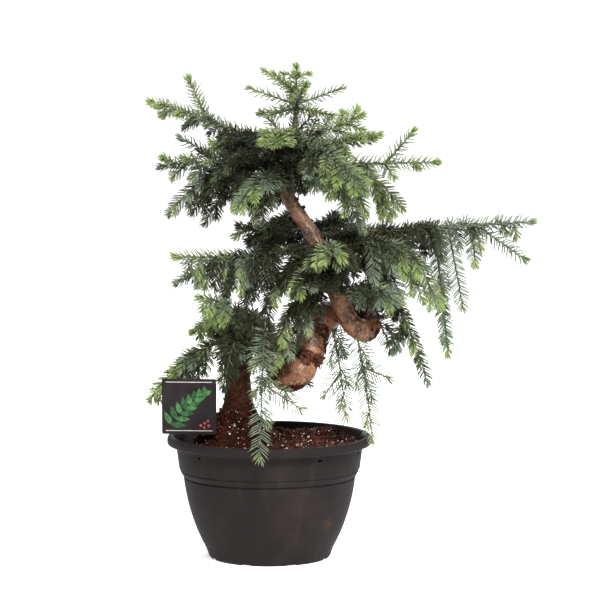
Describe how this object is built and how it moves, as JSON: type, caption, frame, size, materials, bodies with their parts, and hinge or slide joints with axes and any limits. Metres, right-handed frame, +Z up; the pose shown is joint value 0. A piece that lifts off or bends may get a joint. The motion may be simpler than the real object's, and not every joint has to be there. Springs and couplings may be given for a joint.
{
  "type": "potted conifer bonsai",
  "caption": "Potted evergreen conifer bonsai with a trunk trained into loops, tiers of weeping needle fronds, and a round bowl pot filled with soil and a plant label.",
  "frame": {"origin": "middle of the pot's flat underside, at table height", "axes": "+Z up along the pot's axis, -Y towards the front of the plant, +X to the right seen from the front"},
  "size_m": [0.4287, 0.2478, 0.5503],
  "materials": {
    "pot_plastic": "satin",
    "soil": "rough",
    "label_card": "satin",
    "trunk_bark": "rough satin",
    "bough_bark": "rough",
    "foliage": "matt needles"
  },
  "bodies": {
    "root": {"bough_crown_back_left": "bough_bark", "bough_crown_left_high": "bough_bark", "bough_crown_left_low": "bough_bark", "bough_crown_left_mid": "bough_bark", "bough_crown_right_back": "bough_bark", "bough_crown_right_long": "bough_bark", "bough_low_left_long": "bough_bark", "bough_mid_back_right": "bough_bark", "bough_mid_left_long": "bough_bark", "bough_mid_right_drop": "bough_bark", "bough_mid_right_long": "bough_bark", "bough_mid_right_low": "bough_bark", "frond_crown_back": "foliage", "frond_crown_back_left": "foliage", "frond_crown_back_low": "foliage", "frond_crown_back_right": "foliage", "frond_crown_front_high": "foliage", "frond_crown_front_left": "foliage", "frond_crown_front_right": "foliage", "frond_crown_left_high": "foliage", "frond_crown_left_low": "foliage", "frond_crown_left_mid": "foliage", "frond_crown_right_back": "foliage", "frond_crown_right_drop": "foliage", "frond_crown_right_high": "foliage", "frond_crown_right_long": "foliage", "frond_crown_right_mid": "foliage", "frond_drop_back": "foliage", "frond_drop_elbow": "foliage", "frond_drop_front": "foliage", "frond_drop_rim": "foliage", "frond_leader": "foliage", "frond_low_back": "foliage", "frond_low_front": "foliage", "frond_low_left_back": "foliage", "frond_low_left_high": "foliage", "frond_low_left_long": "foliage", "frond_low_weeper": "foliage", "frond_mid_back": "foliage", "frond_mid_back_left": "foliage", "frond_mid_back_right": "foliage", "frond_mid_front_drop": "foliage", "frond_mid_front_high": "foliage", "frond_mid_front_low": "foliage", "frond_mid_front_right": "foliage", "frond_mid_left_drop": "foliage", "frond_mid_left_long": "foliage", "frond_mid_left_short": "foliage", "frond_mid_right_drop": "foliage", "frond_mid_right_long": "foliage", "frond_mid_right_low": "foliage", "frond_right_weeper": "foliage", "label": "label_card", "pot": "pot_plastic", "soil": "soil", "trunk_back": "trunk_bark", "trunk_column": "trunk_bark", "trunk_drop": "trunk_bark", "trunk_rise": "trunk_bark", "trunk_upper": "trunk_bark"}
  },
  "joints": []
}
